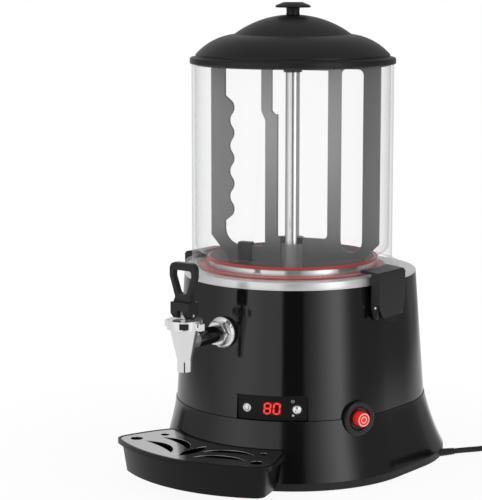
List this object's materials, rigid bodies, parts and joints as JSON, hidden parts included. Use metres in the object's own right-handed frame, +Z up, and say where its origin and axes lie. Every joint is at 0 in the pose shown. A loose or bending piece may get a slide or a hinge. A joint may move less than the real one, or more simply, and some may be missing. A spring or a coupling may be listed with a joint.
{
  "type": "hot chocolate dispenser",
  "caption": "Countertop heated drink dispenser with a clear bowl, stirring paddle, pull-forward tap, clamping latches and a hook-on drip tray.",
  "frame": {"origin": "middle of the footprint of housing and drip tray, on the table", "axes": "+Z up, -Y towards the tap and drip tray at the front, +X to the side of the power switch"},
  "size_m": [0.4804, 0.51, 0.5807],
  "materials": {
    "housing_black": "high-gloss moulded black plastic",
    "skirt_black": "satin-gloss moulded black plastic",
    "base_black": "matte black plastic",
    "foot_rubber": "black rubber",
    "steel": "brushed stainless steel",
    "bowl_clear": "clear polycarbonate, smooth",
    "seal_red": "red silicone rubber",
    "lid_black": "satin black plastic",
    "paddle_grey": "smoke-grey moulded plastic",
    "trim_black": "satin black plastic",
    "chrome": "polished chrome plate",
    "zinc": "zinc-plated steel",
    "button_red": "glossy red plastic",
    "display_dark": "dark display window",
    "board_green": "green circuit board",
    "cord_black": "black flexible cord sheath",
    "brass": "bare brass"
  },
  "bodies": {
    "machine": {"housing_upper": "housing_black", "housing_lower": "skirt_black", "base_plate": "base_black", "rubber_feet": "foot_rubber", "bracket_screws": "zinc", "motor_screws": "zinc", "motor_bracket": "zinc", "gearbox": "zinc", "motor_can": "zinc", "top_deck": "steel", "water_bath": "steel", "heating_pot": "steel", "heating_element": "steel", "temperature_probe": "steel", "centre_column": "steel", "column_bearings": "brass", "bowl_seal": "seal_red", "bowl": "bowl_clear", "tap_body": "chrome", "tap_collar": "chrome", "tap_insert": "trim_black", "tap_spring": "steel", "tap_shank": "chrome", "shank_gasket": "seal_red", "shank_flange": "chrome", "shank_nut": "chrome", "shank_lock_nut": "zinc", "latch_brackets": "lid_black", "latch_pins": "chrome", "control_panel": "base_black", "led_display": "display_dark", "panel_board": "board_green", "power_switch_bezel": "skirt_black", "power_switch_body": "trim_black", "cord_gland": "cord_black", "power_cord_run": "cord_black", "power_cord_coil": "cord_black", "mains_plug": "cord_black", "plug_pins": "brass"},
    "lid_assembly": {"lid": "lid_black", "lid_knob": "lid_black", "knob_screw": "zinc"},
    "paddle_assembly": {"drive_shaft": "steel", "shaft_coupling": "brass", "paddle": "paddle_grey", "paddle_hub": "trim_black", "paddle_bush": "trim_black", "paddle_wiper": "trim_black"},
    "tap_valve": {"tap_stem": "steel", "tap_seat_cup": "seal_red", "handle_pin": "steel"},
    "tap_lever": {"tap_handle": "trim_black"},
    "latch_lever_left": {"latch_left": "lid_black"},
    "latch_lever_right": {"latch_right": "lid_black"},
    "tray": {"drip_tray": "skirt_black"},
    "grid": {"drip_grid": "steel"},
    "button_left": {"panel_button_left": "chrome"},
    "button_right": {"panel_button_right": "chrome"},
    "power_key": {"power_button": "button_red"}
  },
  "joints": [
    {"name": "lid_lift", "type": "slide", "parent": "machine", "child": "lid_assembly", "axis": [0, 0, 1], "range_m": [0, 0.09]},
    {"name": "paddle_spin", "type": "hinge", "parent": "machine", "child": "paddle_assembly", "pos_m": [0, 0.0095, 0.3], "axis": [0, 0, 1], "continuous": true},
    {"name": "tap_stem_lift", "type": "slide", "parent": "machine", "child": "tap_valve", "axis": [0, 0, 1], "range_m": [0, 0.005], "stiffness_N_per_m": 500, "springref_m": -0.002, "deforming": ["tap_spring"]},
    {"name": "tap_handle_tilt", "type": "hinge", "parent": "tap_valve", "child": "tap_lever", "pos_m": [0, -0.2055, 0.2195], "axis": [1, 0, 0], "range_deg": [0, 70]},
    {"name": "latch_left_tilt", "type": "hinge", "parent": "machine", "child": "latch_lever_left", "pos_m": [-0.1455, 0.0095, 0.216], "axis": [0, -1, 0], "range_deg": [0, 18], "stiffness_Nm_per_rad": 0.6, "springref_deg": -8.59},
    {"name": "latch_right_tilt", "type": "hinge", "parent": "machine", "child": "latch_lever_right", "pos_m": [0.1455, 0.0095, 0.216], "axis": [0, 1, 0], "range_deg": [0, 18], "stiffness_Nm_per_rad": 0.6, "springref_deg": -8.59},
    {"name": "tray_slide", "type": "slide", "parent": "machine", "child": "tray", "axis": [0, -1, 0], "range_m": [0, 0.06]},
    {"name": "grid_lift", "type": "slide", "parent": "tray", "child": "grid", "axis": [0, 0, 1], "range_m": [0, 0.03]},
    {"name": "panel_button_left_press", "type": "slide", "parent": "machine", "child": "button_left", "axis": [-0.2436, 0.9699, 0], "range_m": [0, 0.0011], "stiffness_N_per_m": 800, "springref_m": -0.0005},
    {"name": "panel_button_right_press", "type": "slide", "parent": "machine", "child": "button_right", "axis": [-0.6239, 0.7815, 0], "range_m": [0, 0.0011], "stiffness_N_per_m": 800, "springref_m": -0.0005},
    {"name": "power_button_press", "type": "slide", "parent": "machine", "child": "power_key", "axis": [-0.9354, 0.3535, 0], "range_m": [0, 0.002], "stiffness_N_per_m": 600, "springref_m": -0.001}
  ],
  "couplings": [
    {"joint": "tap_handle_tilt", "follows": "tap_stem_lift", "rad_per_m": 244.3}
  ]
}
